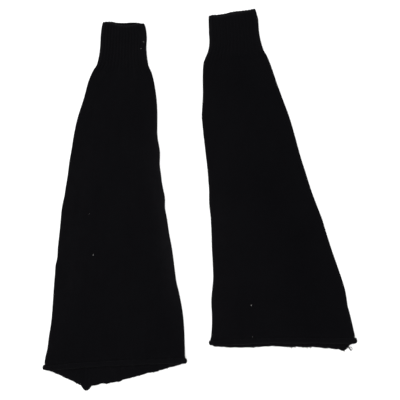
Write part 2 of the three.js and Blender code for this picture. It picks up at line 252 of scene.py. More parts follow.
RIGHT = {
    "name": "right",
    "place": (59.1, 345.9),
    "turn": math.radians(9.2),
    "sections": table(
        "below left right",
        (0, -43.8, 42.1), (10, -45.4, 43.4), (26, -47.5, 43.9), (44, -49.4, 42.4),
        (62, -54.4, 42.9), (80, -65, 45.8), (90, -69, 50.2), (110, -73, 54.8), (140, -77.6, 59.8),
        (180, -85.6, 67.4), (210, -88.2, 72.6), (240, -89.2, 77), (290, -92.2, 82.4),
        (340, -97.6, 89.6), (400, -103, 101.4), (460, -110.4, 110.6), (520, -122.4, 120.6),
        (560, -128.6, 123.6), (600, -136, 126), (640, -138, 126.4),
    ),
    "front_hem": table(
        "x below", (-137, 595.2), (-133, 597.4), (-60, 605), (10, 615), (80, 627), (126, 633.9)
    ),
    "back_hem": table(
        "x below",
        (-137, 595.2), (-133, 599.8), (-130.4, 600.6), (-126, 601), (-122, 601.7), (-118.5, 602.2),
        (-115, 602.7), (-111, 604.3), (-104, 605.7), (-88, 608), (-40, 614), (0, 620.8),
        (40, 627.6), (80, 636.7), (92, 640.3), (98, 641.2), (103, 643), (107, 643.9),
        (110.5, 641.8), (114, 638.2), (118, 636.1), (126, 633.9),
    ),
    "bulges": table(
        "below long left right",
        (320, 400, 0.5, 0.1),
        (19, 5, 0, 0.6),
        (35, 7, 0.4, 0),
        (181, 10, 0.5, 0),
        (207, 22, 0, 0.7),
        (241, 26, 0.4, 0),
        (317, 12, -0.5, 0),
        (318, 26, 0, 0.7),
        (345, 20, 0.5, 0),
        (367, 11, -0.5, 0),
        (404, 14, 0, 0.6),
        (427, 28, 1, 0),
        (482, 14, -0.9, 0),
        (520, 16, 0.9, 0.3),
        (543, 15, 0, 1.1),
        (571, 10, 0, -0.7),
        (580, 7, 0.4, 0),
        (590.5, 4.5, 2, 0),
        (611, 13, 0, 0.7),
        (625, 5.5, 0, 1),
        (633, 6, 0, -1.3),
    ),
    "rim": table(
        "x up dip",
        (-45, 0.4, 0), (-39, 1.3, 1.8), (-31, 0.2, 3.6), (-12, 0.1, 3.4), (-5, 0.9, 3.6),
        (8, 1, 3.8), (20, 0.3, 2.9), (32, -0.1, 1.4), (43, -0.3, 0),
    ),
    "hem_bumps": table(
        "x down half",
        (-61, 1.5, 10), (-49, 0.7, 7), (-25, -0.4, 6), (-13, -0.5, 4), (8, 1.2, 3), (13.2, 1.1, 3),
        (19, -1.1, 3), (30, 0.6, 3), (37, 0.6, 2.5), (44, 0.6, 2.5), (51, -0.9, 3.5), (72, 0.4, 4),
        (81, -0.7, 4),
    ),
    "seam": {"x": 103.5, "drop": 0.8, "half": 5},
    "nubs": table(
        "x out",
        (-103, 0.4), (-60, 0.8), (-52, 0.5), (-20, 0.4), (2, 0.6), (9.2, 2.3), (15.5, 1.3),
        (23, 0.7), (29.8, 1.9), (35, 0.4), (37.2, 1.9), (43.6, 2.2), (49, 0.5), (56, 0.7),
        (63, 0.7), (70, 0.4), (84, 0.5), (102, 1.5), (103.8, 2.2),
    ),
    "swells": table(
        PATCH,
        (-34, 190, 71, 18, 1.6, -5),
        (30, 262, 78, 19, 1.5, 9),
        (-62, 352, 67, 21, 1.8, -12),
        (44, 430, 85, 24, 1.4, 12),
        (-20, 520, 64, 28, 1.2, 2),
        (88, 556, 42, 20, 1.7, 15),
    ),
    "creases": table(
        PATCH,
        (-52, 95, 16, 4, 0.8, -20),
        (-36, 101, 23, 5, -0.64, -11),
        (-19, 97, 20, 4.2, 0.8, -6),
        (-2, 104, 28, 5.6, -0.56, 2),
        (15, 98, 19, 4.4, 0.72, 9),
        (31, 102, 16, 4, -0.56, 14),
        (-60, 150, 32, 5, 0.64, -8),
        (22, 158, 42, 6.2, -0.72, 10),
        (-12, 228, 50, 6.6, 0.64, 1),
        (60, 310, 46, 7, -0.72, 12),
        (-30, 335, 58, 8, 0.72, -5),
        (-84, 440, 52, 7, 0.64, -13),
        (12, 455, 50, 7.5, -0.64, 5),
        (70, 500, 44, 8, 0.64, 13),
        (-66, 545, 36, 8, -0.72, -9),
        (40, 590, 26, 6.5, 0.72, 6),
    ),
    "tone_and_sheen": table(
        PATCH,
        (-90, 370, 110, 24, 0.35, -6),
        (-114, 520, 70, 28, 0.4, -14),
        (40, 430, 200, 52, -0.65, 7),
        (0, 120, 50, 28, -0.35, 0),
    ),
}

# Pale specks of lint that lie on the front layers, in the frame of the pair.
LINT = table(
    "x y long",
    (-105.0, 291.0, 3.2),
    (-109.5, 278.4, 1.9),
    (-204.9, -26.6, 1.4),
    (-197.8, -102.2, 2.4),
    (94.1, -195.0, 2.7),
    (96.3, -253.0, 2.3),
)

# Ends of yarn left hanging where the right garment's seam reaches its hem, each from where it
# leaves the cloth to its end.
YARN_ENDS = table(
    "x0 y0 z0 x1 y1 z1 bow ply",
    (272.4, -267.5, 3.2, 279.4, -279.4, 0.9, -1.1, 0.6),
    (275.3, -272.6, 1.6, 279.8, -279.9, 0.4, 3.4, 0.28),
)


def smooth_step(value, low, high):
    t = np.clip((value - low) / (high - low), 0, 1)
    return t * t * (3 - 2 * t)


def lerp(a, b, t):
    return a + (b - a) * t


def bell(offset, width):
    return np.exp(-((offset / width) ** 2))


def shares(count):
    """Shares from 0 to 1, closer together at both ends."""
    even = np.linspace(0, 1, count)
    return lerp(even, smooth_step(even, 0, 1), CROWDING)


def along(rows, place, column, at):
    """One column of a table at places between its rows, on a smooth curve."""
    xs, ys = rows[place], rows[column]
    last = len(xs) - 1
    k = np.arange(len(xs))
    before, after = np.maximum(k - 1, 0), np.minimum(k + 1, last)
    slopes = (ys[after] - ys[before]) / (xs[after] - xs[before])
    at = np.clip(at, xs[0], xs[-1])
    i = np.clip(np.searchsorted(xs, at) - 1, 0, last - 1)
    span = xs[i + 1] - xs[i]
    t = (at - xs[i]) / span
    bend = smooth_step(t, 0, 1)
    leave = slopes[i] * span * t * (1 - t) ** 2
    arrive = slopes[i + 1] * span * t * t * (1 - t)
    return ys[i] + (ys[i + 1] - ys[i]) * bend + leave - arrive


def rows_of(columns, names):
    """The rows of a table, with the named columns in that order."""
    return zip(*(columns[name] for name in names.split()))


def edges_at(garment, below):
    """The folded edges of the tube at distances below the rim."""
    left = along(garment["sections"], "below", "left", below)
    right = along(garment["sections"], "below", "right", below)
    for at, long, out_left, out_right in rows_of(garment["bulges"], "below long left right"):
        left = left - out_left * bell(below - at, long)
        right = right + out_right * bell(below - at, long)
    return left, right, (left + right) / 2, (right - left) / 2


def back_hem_at(garment, x):
    """How far below the rim the back layer's hem lies at x, with the point at its seam."""
    seam = garment["seam"]
    away = np.clip(np.abs(x - seam["x"]) / seam["half"], 0, 1)
    point = seam["drop"] * np.cos(away * math.pi / 2) ** 2
    bumps = rows_of(garment["hem_bumps"], "x down half")
    uneven = sum(down * bell(x - at, half * BUMP_BELL) for at, down, half in bumps)
    return along(garment["back_hem"], "x", "below", x) + point + uneven


def roll_turn(garment, x, on_back):
    """How far round the edge has rolled at x."""
    away = np.abs(x - garment["seam"]["x"])
    at_seam = lerp(SEAM_TURN, ROLL_TURN, smooth_step(away, SEAM_STIFF, SEAM_FREE))
    return np.where(on_back, at_seam, ROLL_TURN)


def roll_size(x):
    """The size of the roll at x, as a share of its even size."""
    waves = rows_of(ROLL_WAVES, "share every start")
    return 1 + sum(share * np.sin(2 * math.pi * x / every + start) for share, every, start in waves)


def roll_depth(garment, x):
    """How far the back layer is held up at x to stand on its rolled edge."""
    turn = np.minimum(roll_turn(garment, x, True), math.pi)
    return ROLL_THICK * roll_size(x) * (1 - np.cos(turn))


def relief(rows, x, below):
    """What a table's soft patches add up to: the height of swells and creases, or how much paler or
    darker the yarn's colour is.
    """
    high = np.zeros_like(x)
    for at_x, at_below, long, wide, rise, lean in rows_of(rows, PATCH):
        dx, dy = x - at_x, below - at_below
        c, s = math.cos(math.radians(lean)), math.sin(math.radians(lean))
        high += rise * bell(dx * c - dy * s, wide) * bell(dx * s + dy * c, long)
    return high


# Soft unevenness of the cloth between its creases, as a few waves that cross it every way.
RIPPLE_HIGH = 0.07
RIPPLE_EVERY = 13, 34
RIPPLE_COUNT = 12
RIPPLES = [
    (2 * math.pi / every * math.cos(way), 2 * math.pi / every * math.sin(way), start)
    for every, way, start in zip(
        rng.uniform(*RIPPLE_EVERY, RIPPLE_COUNT),
        rng.uniform(0, math.pi, RIPPLE_COUNT),
        rng.uniform(0, 6.28, RIPPLE_COUNT),
    )
]


def ripple(x, below):
    return RIPPLE_HIGH * sum(np.sin(kx * x + ky * below + start) for kx, ky, start in RIPPLES)


def layer_heights(garment, x, below, edge, wall):
    """The middle heights of the back layer and the front layer."""
    back_hem = back_hem_at(garment, x)
    climb = smooth_step(below, back_hem - RAMP_START, back_hem - RAMP_END)
    back = wall / 2 + roll_depth(garment, x) * climb
    fold = FOLD_RISE * bell(edge, FOLD_REACH)
    yoke = YOKE_RISE * bell(below - YOKE_AT, YOKE_LONG)
    mouth = MOUTH_OPEN * bell(below, MOUTH_LONG)
    form = yoke + mouth + relief(garment["swells"], x, below)
    form = form + relief(garment["creases"], x, below) + ripple(x, below)
    calm = np.clip(edge / FOLD_REACH, 0, 1)
    return back, back + wall + LAYER_GAP + fold + form * calm


def columns_round(back_across, front_across):
    """Columns once round the flattened tube, from the left fold over the back: how far across each
    lies, from -1 to 1, the lean of the way out of the wall there, and its place in a count of ribs."""
    steps = np.arange(1, FOLD_STEPS) / FOLD_STEPS
    half_turn = math.pi / 2
    front = front_across[::-1]
    ones = np.ones(FOLD_STEPS - 1)
    across = np.concatenate((back_across, ones, front, -ones))
    down, up = np.full(len(back_across), -half_turn), np.full(len(front), half_turn)
    round_fold = math.pi * steps
    lean = np.concatenate((down, -half_turn + round_fold, up, half_turn + round_fold))
    ribs = RIBS_ON_LAYER
    on_back, on_front = (back_across + 1) / 2 * ribs, (front + 1) / 2 * ribs
    rib = np.concatenate((2 * ribs + 1 - on_back, ribs + 1 - steps, on_front, -steps))
    return across, lean, rib


def wall_points(garment, across, lean, below, wall):
    """The middle of the wall, and the way out of it, for rings of columns."""
    left, right, middle, half = edges_at(garment, below)
    side_x = np.where(across < 0, left, right)
    fold_back, fold_front = layer_heights(garment, side_x, below, np.zeros_like(below), wall)
    reach = half - (fold_front - fold_back) / 2 - wall / 2
    x = middle + across * reach
    back, front = layer_heights(garment, x, below, (1 - np.abs(across)) * reach, wall)
    radius, centre = (front - back) / 2, (front + back) / 2
    out = np.stack((np.cos(lean) + 0 * below, 0 * below, np.sin(lean) + 0 * below), axis=-1)
    point = np.stack((x, -below, centre), axis=-1) + out * radius[..., None]
    return point, out, x, radius


def rib_shape(rib):
    """1 on a rib and 0 between two, for a count of ribs."""
    away = np.abs((rib - RIB_CENTRE + 0.5) % 1 - 0.5) * 2
    return 1 - smooth_step(away, RIB_TOP, RIB_FOOT)


def front_share(lean):
    """1 on the front layer, 0 on the back one and between them round the folds."""
    return (np.sin(lean) + 1) / 2


def fold_wear_and_sheen(across, half):
    """How much paler the yarn is near a fold: a painted sheen, with the yarn a little rubbed there
    too.
    """
    # Painted sheen along the fold, with some wear.
    return FOLD_SHEEN_AND_WEAR * bell((1 - np.abs(across)) * half, PALER_REACH)


def knit_places(garment, lean, x, below, radius):
    """Where each point of the wall lies in the flat panel, over the left fold or the right one."""
    left, right, _, _ = edges_at(garment, below)
    found = []
    for sign, edge in ((-1, left), (1, right)):
        centre = edge - sign * (radius + WALL / 2)
        on_back = lean == -math.pi / 2
        turned = np.clip(sign * (math.pi / 2 - lean), 0, math.pi)
        over = radius * np.where(on_back, math.pi, turned)
        inside = np.abs(centre - x)
        u = np.where(on_back, centre + sign * (over + inside), centre + sign * over)
        u = np.where(lean == math.pi / 2, x, u)
        v = np.where(on_back, below - 2 * FLARE * inside, below)
        found.append((u, v))
    return found


def make_mesh(name, points, faces, material, smooth=True):
    """An object at the origin from points in millimetres."""
    mesh = bpy.data.meshes.new(name)
    mesh.from_pydata((points * MM).tolist(), [], [list(face) for face in faces])
    mesh.materials.append(material)
    mesh.polygons.foreach_set("use_smooth", [smooth] * len(mesh.polygons))
    mesh.update()
    made = bpy.data.objects.new(name, mesh)
    bpy.context.scene.collection.objects.link(made)
    return made


def in_place(garment, points):
    """Points of a garment's own frame in the frame of the pair."""
    c, s = math.cos(garment["turn"]), math.sin(garment["turn"])
    x, y = points[..., 0], points[..., 1]
    at_x, at_y = garment["place"]
    return np.stack((at_x + c * x - s * y, at_y + s * x + c * y, points[..., 2]), axis=-1)


def edge_ring(last, before):
    """The ring that rounds a wall's edge off, past its last ring."""
    on = last - before
    return last + on / np.linalg.norm(on, axis=-1, keepdims=True) * EDGE_ROUND


def wall_object(name, garment, middle, out, halves, knit_left, knit_right, use_right, marks, material):
    """A closed wall from rings of middle points and its half thicknesses outwards and inwards. The
    rings run down the outside, round the lower edge and up the inside. knit_left and knit_right are
    each point's place in the knitting, in wales and courses, as seen from either side of the seam.
    marks holds the values outside and inside of each named attribute."""
    half_out, half_in = halves
    outer = middle + out * half_out[..., None]
    inner = middle - out * half_in[..., None]
    upper, lower = edge_ring(middle[0], middle[1]), edge_ring(middle[-1], middle[-2])
    rings = np.concatenate((upper[None], outer, lower[None], inner[::-1]))
    count, columns = rings.shape[:2]

    def round_ring(values):
        return np.concatenate((values[:1], values, values[-1:], values[::-1]))

    j, k = np.meshgrid(np.arange(count), np.arange(columns), indexing="ij")
    j2, k2 = (j + 1) % count, (k + 1) % columns
    corners = [(j, k), (j, k2), (j2, k2), (j2, k)]
    faces = np.stack([a * columns + b for a, b in corners], axis=-1).reshape(-1, 4)
    made = make_mesh(name, in_place(garment, rings).reshape(-1, 3), faces, material)

    at_left, at_right = round_ring(knit_left), round_ring(knit_right)
    chosen = use_right[None, :, None, None]
    spots = np.where(
        chosen,
        np.stack([at_right[a, b] for a, b in corners], axis=2),
        np.stack([at_left[a, b] for a, b in corners], axis=2),
    )
    layer = made.data.uv_layers.new(name="Knit")
    layer.data.foreach_set("uv", spots.astype(np.float32).ravel())
    for mark, (outside, inside) in marks.items():
        first, last = (outside[:1] + inside[:1]) / 2, (outside[-1:] + inside[-1:]) / 2
        values = np.concatenate((first, outside, last, inside[::-1])).astype(np.float32)
        made.data.attributes.new(mark, "FLOAT", "POINT").data.foreach_set("value", values.ravel())
    return made


def roll_on(garment, middle, out, lean, hem_x):
    """The rolled edge past the last flat ring, at hem_x: its middle points and ways out."""
    hem, hem_out = middle[-1], out[-1]
    around = np.roll(hem, -1, axis=0) - np.roll(hem, 1, axis=0)
    on = np.cross(hem_out, around)
    on /= np.linalg.norm(on, axis=-1, keepdims=True)
    turns = roll_turn(garment, hem_x, lean == -math.pi / 2)
    size = roll_size(hem_x)
    points, ways = [], []
    for step in range(1, ROLL_STEPS + 1):
        turn = (turns * step / ROLL_STEPS)[:, None]
        long, thick = ROLL_LONG * size[:, None], ROLL_THICK * size[:, None]
        points.append(hem + on * long * np.sin(turn) + hem_out * thick * (1 - np.cos(turn)))
        way = hem_out * ROLL_LONG * np.cos(turn) - on * ROLL_THICK * np.sin(turn)
        ways.append(way / np.linalg.norm(way, axis=-1, keepdims=True))
    return np.array(points), np.array(ways)


def body_columns(garment, middle_x, half):
    """Columns round a body, closer together at its seam, and which of them is the seam's own."""
    seam = (garment["seam"]["x"] - middle_x) / half
    even = np.linspace(-1, 1, BACK_COLUMNS)
    clear = (np.abs(even - seam) * half > SEAM_STEPS[-1] + 1) | (np.abs(even) == 1)
    back = np.sort(np.concatenate((even[clear], seam + SEAM_STEPS / half)))
    back = back[np.abs(back) <= 1]
    across, lean, rib = columns_round(back, np.linspace(-1, 1, FRONT_COLUMNS))
    return across, lean, rib, np.argmin(np.abs(back - seam))


def body_halves(below, rib, on_front, seam_bell):
    """Half the thickness of a body's wall, outwards and inwards, with its rolled edge."""
    top = below[0, 0]
    ribs = RIB_HIGH * rib_shape(rib) * on_front * bell(below - top, RIB_FADE)
    level = (CUFF_WALL - WALL) * on_front * (1 - smooth_step(below, top, top + JOIN_LONG))
    settled = smooth_step(below, top, top + SEAM_SETTLES)
    half_out = WALL / 2 + ribs + level - SEAM_GROOVE * seam_bell * settled
    half_in = WALL / 2 + SEAM_RIDGE * seam_bell * settled
    on_roll = np.full((ROLL_STEPS, len(rib)), WALL / 2)
    tail = SEAM_RIDGE * seam_bell * np.linspace(1, SEAM_TAIL, ROLL_STEPS)[:, None]
    return np.concatenate((half_out, on_roll)), np.concatenate((half_in, on_roll + tail))


def body_knit(garment, lean, x, below, radius, past):
    """The places in the knitting of a body's points, and of those past its hem on the rolled edge,
    as seen from either side of its seam."""
    places = []
    for u, v in knit_places(garment, lean, x, below, radius):
        u_all = np.concatenate((u, np.repeat(u[-1:], ROLL_STEPS, axis=0)))
        v_all = np.concatenate((v, v[-1] + past))
        places.append(np.stack((u_all / WALE, v_all / COURSE), axis=-1))
    return places


def body_object(garment, material):
    """A garment's body, and the middle and the way out of its wall all down the seam."""
    _, _, middle_x, half = edges_at(garment, garment["back_hem"]["below"][0])
    across, lean, rib, seam_column = body_columns(garment, middle_x, half)
    on_front, on_back = front_share(lean), (lean == -math.pi / 2) * 1.0
    hem_x = middle_x + across * half
    front_hem = along(garment["front_hem"], "x", "below", hem_x)
    hem = lerp(back_hem_at(garment, hem_x), front_hem, on_front)
    top = CUFF_LONG + EDGE_ROUND - TUCK
    below = lerp(top, hem[None, :], shares(BODY_RINGS)[:, None])
    middle, out, x, radius = wall_points(garment, across, lean, below, WALL)
    rolled, rolled_out = roll_on(garment, middle, out, lean, x[-1])
    whole, whole_out = np.concatenate((middle, rolled)), np.concatenate((out, rolled_out))

    steps = np.linalg.norm(np.diff(whole[BODY_RINGS - 1 :], axis=0), axis=-1)
    knit_left, knit_right = body_knit(garment, lean, x, below, radius, np.cumsum(steps, axis=0))
    columns = np.arange(len(across))
    use_right = (columns >= seam_column) & (columns < len(across) - FOLD_STEPS)

    whole_below = np.concatenate((below, np.repeat(hem[None, :], ROLL_STEPS, axis=0)))
    # Painted light that lifts the shade in the hollows behind and under the front layer's roll.
    behind = on_front * bell(whole_below - hem + BEHIND_ROLL, PALER_REACH)
    under = on_back * bell(whole_below - front_hem - UNDER_ROLL, PALER_REACH)
    worn_and_lit = fold_wear_and_sheen(across, half) + BEHIND_ROLL_LIGHT * behind + UNDER_ROLL_LIGHT * under
    worn_and_lit = worn_and_lit + relief(garment["tone_and_sheen"], whole[..., 0], whole_below)
    zeros = np.zeros_like(whole_below)
    seam_bell = bell((across - across[seam_column]) * half, SEAM_HALF) * on_back
    made = wall_object(
        f"{garment['name']}_body_knit",
        garment,
        whole,
        whole_out,
        body_halves(below, rib, on_front, seam_bell),
        knit_left,
        knit_right,
        use_right,
        {"purl": (zeros, zeros + 1), "worn_and_lit": (worn_and_lit, worn_and_lit)},
        material,
    )
    return made, (whole[:, seam_column], whole_out[:, seam_column])


def cuff_object(garment, material):
    """A garment's ribbed cuff, whose front rim dips and whose ribs stand out and in."""
    layer = np.linspace(-1, 1, RIBS_ON_LAYER * COLUMNS_PER_RIB + 1)
    across, lean, rib = columns_round(layer, layer)
    on_front, shape = front_share(lean), rib_shape(rib)
    _, _, rim_middle, rim_half = edges_at(garment, 0.0)
    rim_x = rim_middle + across * rim_half
    up = along(garment["rim"], "x", "up", rim_x)
    dip = along(garment["rim"], "x", "dip", rim_x)
    rim = dip * on_front + EDGE_ROUND - RIM_SCALLOP * shape - up
    below = lerp(rim[None, :], CUFF_LONG - EDGE_ROUND, shares(CUFF_RINGS)[:, None])
    middle, out, _, _ = wall_points(garment, across, lean, below, CUFF_WALL)

    swing = 0 * below + shape
    rise = RIB_HIGH * (swing - (1 - on_front)) * smooth_step(below - rim, RIB_START, RIB_WHOLE)
    thin = lerp(RIM_THIN, 1, smooth_step(below - rim, 0, RIM_LONG))
    level = (CUFF_WALL - WALL) * on_front * smooth_step(below, CUFF_LONG - JOIN_LONG, CUFF_LONG)
    half_out = CUFF_WALL / 2 * thin + rise - level
    half_in = (CUFF_WALL / 2 - RIB_INSIDE * swing) * thin
    wales = 0 * below + rib * WALES_PER_RIB + 0.5
    # A painted highlight along the rim, with some wear, stronger on the front layer.
    rim_highlight = lerp(BACK_RIM_HIGHLIGHT, FRONT_RIM_HIGHLIGHT, on_front)
    worn_and_lit = fold_wear_and_sheen(across, rim_half) + rim_highlight * bell(below - rim, RIM_HIGHLIGHT_REACH)
    place = np.stack((wales, below / RIB_COURSE), axis=-1)
    return wall_object(
        f"{garment['name']}_cuff_knit",
        garment,
        middle,
        out,
        (half_out, half_in),
        place,
        place,
        np.ones(len(across), bool),
        {"purl": (1 - swing, swing), "worn_and_lit": (worn_and_lit, worn_and_lit)},
        material,
    )


class Nodes:
    """Short ways to add shader nodes to a material and join them."""

    def __init__(self, material):
        self.tree = material.node_tree

    def add(self, kind, **values):
        node = self.tree.nodes.new(kind)
        for name, value in values.items():
            setattr(node, name, value)
        return node

    def join(self, value, socket):
        if isinstance(value, bpy.types.NodeSocket):
            self.tree.links.new(value, socket)
        else:
            socket.default_value = value

    def math(self, operation, *values, clamp=False):
        node = self.add("ShaderNodeMath", operation=operation, use_clamp=clamp)
        for value, socket in zip(values, node.inputs):
            self.join(value, socket)
        return node.outputs[0]

    def blend(self, share, low, high):
        """low where share is 0 and high where it is 1."""
        gap = self.math("SUBTRACT", high, low)
        return self.math("MULTIPLY_ADD", share, gap, low)

    def wave(self, turns):
        """0 to 1 and back, once for each whole turn."""
        cosine = self.math("COSINE", self.math("MULTIPLY", turns, 2 * math.pi))
        return self.math("MULTIPLY_ADD", cosine, -0.5, 0.5)

    def noise(self, vector, scale, detail, roughness=0.5):
        node = self.add("ShaderNodeTexNoise")
        self.join(vector, node.inputs["Vector"])
        self.join(scale, node.inputs["Scale"])
        self.join(detail, node.inputs["Detail"])
        self.join(roughness, node.inputs["Roughness"])
        return node.outputs["Fac"]

    def mix_colours(self, share, low, high):
        node = self.add("ShaderNodeMix", data_type="RGBA", clamp_factor=False)
        self.join(share, node.inputs["Factor"])
        self.join(low, node.inputs["A"])
        self.join(high, node.inputs["B"])
        return node.outputs["Result"]

    def bump(self, height, distance, strength, normal=None):
        node = self.add("ShaderNodeBump")
        self.join(height, node.inputs["Height"])
        self.join(distance, node.inputs["Distance"])
        self.join(strength, node.inputs["Strength"])
        if normal is not None:
            self.join(normal, node.inputs["Normal"])
        return node.outputs["Normal"]


# The black of the yarn: a painted shade between its stitches, its own black on top of them, and a
# paler black where the yarn shows wear, which also serves for painted sheen, highlight and light.
PAINTED_GAP_SHADE = (0.0007, 0.0007, 0.0009, 1)
BLACK = (0.0022, 0.0021, 0.0028, 1)
PALER_BLACK = (0.0043, 0.0041, 0.005, 1)
YARN_LOOK = {"roughness": 0.9, "specular": 0.02, "sheen": 0.02}
LINT_LOOK = {"roughness": 0.8, "specular": 0.1, "sheen": 0.2}
SHEEN_ROUGHNESS = 0.5
SHEEN_TINT = (0.75, 0.76, 0.8, 1)
STITCH_DEEP, STITCH_BUMP = 0.0005, 0.75
FIBRE_DEEP, FIBRE_BUMP = 0.00012, 0.5

# A plain stitch is a V. From the V's middle to its side the height of a leg is the sine of an angle
# that starts and grows like this, and the yarn runs aslant by LEG_LEAN of a course.
LEG_START, LEG_GROWS, LEG_LEAN = 0.42, 2.72, 0.62
YARN_ROUND, YARN_LOW = 0.6, 0.28  # how round the yarn is, and the height between two of its runs

# The back of a stitch is an arc up and an arc down, which swing across the wale.
ARC_APART, ARC_SWING = 0.25, 0.13
ARC_HEIGHT, ARC_RISE, ARC_ROUND = 0.74, 0.26, 1.2

YARN_STRAYS = 0.3  # of a wale or a course

# Noises: how many to a metre.
STRAY_NOISE, FIBRE_NOISE, WEAR_NOISE, PATCH_NOISE = 240, 5200, 9, 85

# How much wear the yarn shows all over, where patches of it show that, and how far the same patches
# break up the marks of wear, painted sheen, painted highlight and painted light; and what the fibres
# and the height of the stitch have to do with how much of its upper colour shows, the low parts of
# each stitch taking a painted shade.
WEAR_SPREAD, WEAR_START = 1.6, -0.45
PATCH_OVER_ALL, PATCH_AT_EDGES, PATCH_LEAST = 0.9, 1.1, 0.1
FIBRE_SHARE, HEIGHT_SHADE_SHARE = 0.35, 0.85

LINT_COLOURS = (0.35, 0.34, 0.33, 1), (0.62, 0.61, 0.6, 1)

# Loose fibres: their noise, and how deep and how strong its bump is.
LOOSE_YARN = {"scale": 3800, "detail": 4, "roughness": 0.65}, {"distance": 0.0001, "strength": 0.6}
LINT_FIBRE = {"scale": 2600, "detail": 3, "roughness": 0.6}, {"distance": 0.00005, "strength": 0.5}


def new_material(name, roughness, specular, sheen):
    """A material with its main shader."""
    material = bpy.data.materials.new(name)
    material.use_nodes = True
    shader = material.node_tree.nodes["Principled BSDF"]
    shader.inputs["Roughness"].default_value = roughness
    shader.inputs["Specular IOR Level"].default_value = specular
    shader.inputs["Sheen Weight"].default_value = sheen
    shader.inputs["Sheen Roughness"].default_value = SHEEN_ROUGHNESS
    shader.inputs["Sheen Tint"].default_value = SHEEN_TINT
    return material, shader


def knit_material(name):
    """Black knitting with its V stitches, or the arcs of their backs where purl is 1."""
    material, shader = new_material(name, **YARN_LOOK)
    n = Nodes(material)
    spot = n.add("ShaderNodeUVMap", uv_map="Knit").outputs["UV"]
    apart = n.add("ShaderNodeSeparateXYZ")
    n.join(spot, apart.inputs[0])
    wale, course = apart.outputs["X"], apart.outputs["Y"]
    purl = n.add("ShaderNodeAttribute", attribute_name="purl").outputs["Fac"]
    body = n.add("ShaderNodeTexCoord").outputs["Object"]

    stray = n.noise(body, scale=STRAY_NOISE, detail=2)
    stray = n.math("MULTIPLY_ADD", stray, YARN_STRAYS, -YARN_STRAYS / 2)
    wale = n.math("ADD", wale, stray)
    course = n.math("ADD", course, stray)
    centred = n.math("SUBTRACT", n.math("FRACT", wale), 0.5)
    aside = n.math("MULTIPLY", n.math("ABSOLUTE", centred), 2)

    leg = n.math("SINE", n.math("MULTIPLY_ADD", aside, LEG_GROWS, LEG_START))
    strand = n.wave(n.math("MULTIPLY_ADD", aside, -LEG_LEAN, course))
    strand = n.math("POWER", strand, YARN_ROUND)
    strand = n.math("MULTIPLY_ADD", strand, 1 - YARN_LOW, YARN_LOW)
    face = n.math("MULTIPLY", leg, strand)

    swing = n.math("COSINE", n.math("MULTIPLY", wale, 2 * math.pi))
    arcs = []
    for side in (1, -1):
        along_it = n.math("ADD", course, ARC_APART * side)
        arc = n.wave(n.math("MULTIPLY_ADD", swing, ARC_SWING * side, along_it))
        crown = n.math("MULTIPLY_ADD", swing, ARC_RISE * side, ARC_HEIGHT)
        arcs.append(n.math("MULTIPLY", n.math("POWER", arc, ARC_ROUND), crown))
    reverse = n.math("MAXIMUM", *arcs)

    height = n.blend(purl, face, reverse)
    fluff = n.noise(body, scale=FIBRE_NOISE, detail=3, roughness=0.6)
    normal = n.bump(height, distance=STITCH_DEEP, strength=STITCH_BUMP)
    normal = n.bump(fluff, distance=FIBRE_DEEP, strength=FIBRE_BUMP, normal=normal)

    wear_and_light = n.noise(body, scale=WEAR_NOISE, detail=4, roughness=0.6)
    wear_and_light = n.math("MULTIPLY_ADD", wear_and_light, WEAR_SPREAD, WEAR_START, clamp=True)
    patch = n.noise(body, scale=PATCH_NOISE, detail=3, roughness=0.6)
    over_all = n.math("MULTIPLY_ADD", patch, PATCH_OVER_ALL, PATCH_LEAST)
    at_edges = n.math("MULTIPLY_ADD", patch, PATCH_AT_EDGES, PATCH_LEAST)
    # The mesh's marks: some wear, with painted sheen at the folds, a painted highlight at the rim and
    # painted light beside the roll.
    edges = n.add("ShaderNodeAttribute", attribute_name="worn_and_lit").outputs["Fac"]
    wear_and_light = n.math("MULTIPLY_ADD", edges, at_edges, n.math("MULTIPLY", wear_and_light, over_all))
    # The upper colour: the yarn's black, paler where it shows wear and where sheen, highlight and
    # light are painted.
    top = n.mix_colours(wear_and_light, BLACK, PALER_BLACK)
    # Painted shade: the low parts of each stitch take the darker colour.
    shown = n.math("MULTIPLY", height, HEIGHT_SHADE_SHARE)
    shown = n.math("MULTIPLY_ADD", fluff, FIBRE_SHARE, shown, clamp=True)
    n.join(n.mix_colours(shown, PAINTED_GAP_SHADE, top), shader.inputs["Base Color"])
    n.join(normal, shader.inputs["Normal"])
    return material


def fibre_material(name, look, colours, fibre):
    """Loose fibres, in two colours that a noise mixes."""
    material, shader = new_material(name, **look)
    noise, bump = fibre
    n = Nodes(material)
    height = n.noise(n.add("ShaderNodeTexCoord").outputs["Object"], **noise)
    n.join(n.mix_colours(height, *colours), shader.inputs["Base Color"])
    n.join(n.bump(height, **bump), shader.inputs["Normal"])
    return material


NEARLY_UP = 0.9  # the rise of a path too steep to be measured against the vertical


def across_frames(paths):
    """Two unit vectors across each path of an array, at each of its points."""
    on = np.gradient(paths, axis=1)
    on /= np.linalg.norm(on, axis=-1, keepdims=True)
    up = np.where(np.abs(on[..., 2:3]) > NEARLY_UP, (1.0, 0.0, 0.0), (0.0, 0.0, 1.0))
    side = np.cross(on, up)
    side /= np.linalg.norm(side, axis=-1, keepdims=True)
    return side, np.cross(on, side)


